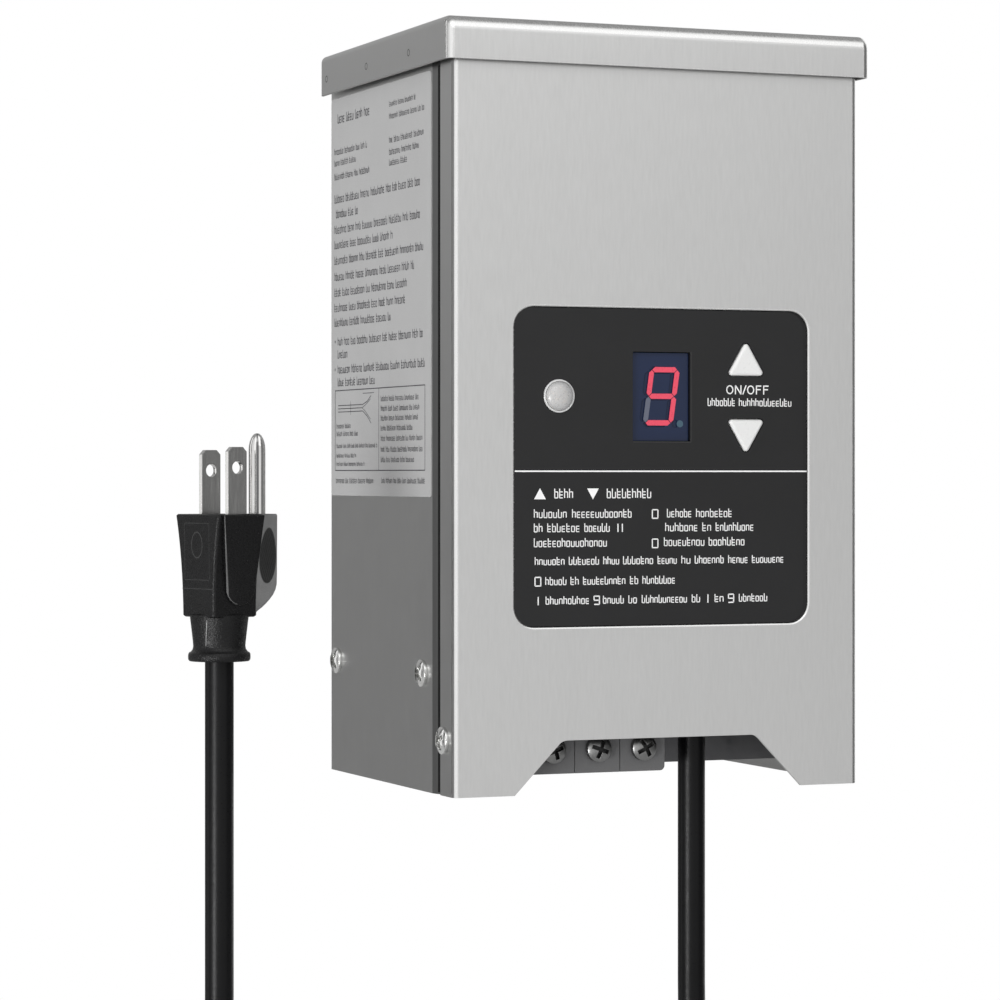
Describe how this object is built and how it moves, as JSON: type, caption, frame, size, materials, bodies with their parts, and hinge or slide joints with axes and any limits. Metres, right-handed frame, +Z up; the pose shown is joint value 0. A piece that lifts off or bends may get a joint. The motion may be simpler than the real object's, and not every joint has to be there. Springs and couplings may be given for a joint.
{
  "type": "low voltage landscape transformer",
  "caption": "Wall-hung sheet steel box with a cap, a recessed timer panel with display, photocell and buttons, a terminal block underneath, and a coiled cord with a grounded plug.",
  "frame": {"origin": "on the wall plane, midway between the two keyholes in the back", "axes": "+Z up, +Y into the wall, -Y towards the viewer, +X to the right seen from the front"},
  "size_m": [0.2092, 0.1098, 0.423],
  "materials": {
    "case_steel": "vertical grain, satin",
    "zinc_steel": "zinc plated, dull",
    "screw_steel": "zinc plated",
    "label_film": "satin film",
    "panel_plastic": "fine texture",
    "board_laminate": "solder resist",
    "display_plastic": "smooth",
    "lit_segment": "glowing",
    "dark_segment": "smooth",
    "lens_clear": "clear, slightly grey",
    "sensor_ceramic": "ceramic",
    "button_white": "smooth",
    "black_plastic": "moulded",
    "blue_plastic": "moulded",
    "yellow_plastic": "moulded",
    "core_steel": "varnished laminations",
    "nylon": "moulded",
    "copper": "enamelled wire",
    "yellow_tape": "film tape",
    "block_plastic": "moulded",
    "terminal_brass": "stamped",
    "green_screw": "dyed zinc",
    "lead_black": "insulation",
    "lead_orange": "insulation",
    "cord_jacket": "satin black",
    "blade_brass": "nickel plated"
  },
  "bodies": {
    "case": {"housing": "case_steel", "top_cap": "case_steel", "front_cover": "case_steel", "bottom_tray": "zinc_steel", "cover_screws": "screw_steel", "tray_screws": "screw_steel", "side_label": "label_film", "control_panel": "panel_plastic", "control_housing": "panel_plastic", "control_nuts": "screw_steel", "control_board": "board_laminate", "board_screws": "screw_steel", "display_body": "display_plastic", "lit_segments": "lit_segment", "unlit_segments": "dark_segment", "photocell_lens": "lens_clear", "photocell_sensor": "sensor_ceramic", "push_switches": "black_plastic", "relay": "blue_plastic", "capacitors": "yellow_plastic", "controller_chip": "black_plastic", "core_e_stack": "core_steel", "core_i_stack": "core_steel", "bobbin": "nylon", "primary_winding": "copper", "secondary_winding": "copper", "winding_wrap": "yellow_tape", "core_frame": "zinc_steel", "frame_bolts": "screw_steel", "frame_nuts": "screw_steel", "thermal_cutout": "nylon", "terminal_block": "block_plastic", "terminal_bars": "terminal_brass", "block_screws": "screw_steel", "ground_screw": "green_screw", "ground_lug": "terminal_brass", "supply_leads": "lead_black", "secondary_leads": "lead_orange", "cord_bushing": "black_plastic", "cord_to_coil": "cord_jacket", "cord_coil": "cord_jacket", "cord_to_plug": "cord_jacket", "coil_tie": "black_plastic", "plug_body": "cord_jacket", "plug_blades": "blade_brass", "ground_pin": "blade_brass"},
    "up_button": {"up_button": "button_white", "up_plunger": "black_plastic"},
    "down_button": {"down_button": "button_white", "down_plunger": "black_plastic"},
    "clamp_1": {"clamp_plate_1": "screw_steel"},
    "clamp_2": {"clamp_plate_2": "screw_steel"},
    "clamp_3": {"clamp_plate_3": "screw_steel"},
    "screw_1": {"clamp_screw_1": "screw_steel"},
    "screw_2": {"clamp_screw_2": "screw_steel"},
    "screw_3": {"clamp_screw_3": "screw_steel"}
  },
  "joints": [
    {"name": "up_button_press", "type": "slide", "parent": "case", "child": "up_button", "axis": [0, 1, 0], "range_m": [0, 0.0006], "stiffness_N_per_m": 800},
    {"name": "down_button_press", "type": "slide", "parent": "case", "child": "down_button", "axis": [0, 1, 0], "range_m": [0, 0.0006], "stiffness_N_per_m": 800},
    {"name": "screw_1_turn", "type": "hinge", "parent": "case", "child": "screw_1", "pos_m": [-0.03035, -0.0973, -0.173], "axis": [0, 1, 0], "range_deg": [0, 2058]},
    {"name": "clamp_1_grip", "type": "slide", "parent": "case", "child": "clamp_1", "axis": [0, -1, 0], "range_m": [0, 0.004]},
    {"name": "screw_2_turn", "type": "hinge", "parent": "case", "child": "screw_2", "pos_m": [-0.01585, -0.0973, -0.173], "axis": [0, 1, 0], "range_deg": [0, 2058]},
    {"name": "clamp_2_grip", "type": "slide", "parent": "case", "child": "clamp_2", "axis": [0, -1, 0], "range_m": [0, 0.004]},
    {"name": "screw_3_turn", "type": "hinge", "parent": "case", "child": "screw_3", "pos_m": [-0.00135, -0.0973, -0.173], "axis": [0, 1, 0], "range_deg": [0, 2058]},
    {"name": "clamp_3_grip", "type": "slide", "parent": "case", "child": "clamp_3", "axis": [0, -1, 0], "range_m": [0, 0.004]}
  ],
  "couplings": [
    {"joint": "screw_1_turn", "follows": "clamp_1_grip", "rad_per_m": 8976},
    {"joint": "screw_2_turn", "follows": "clamp_2_grip", "rad_per_m": 8976},
    {"joint": "screw_3_turn", "follows": "clamp_3_grip", "rad_per_m": 8976}
  ]
}
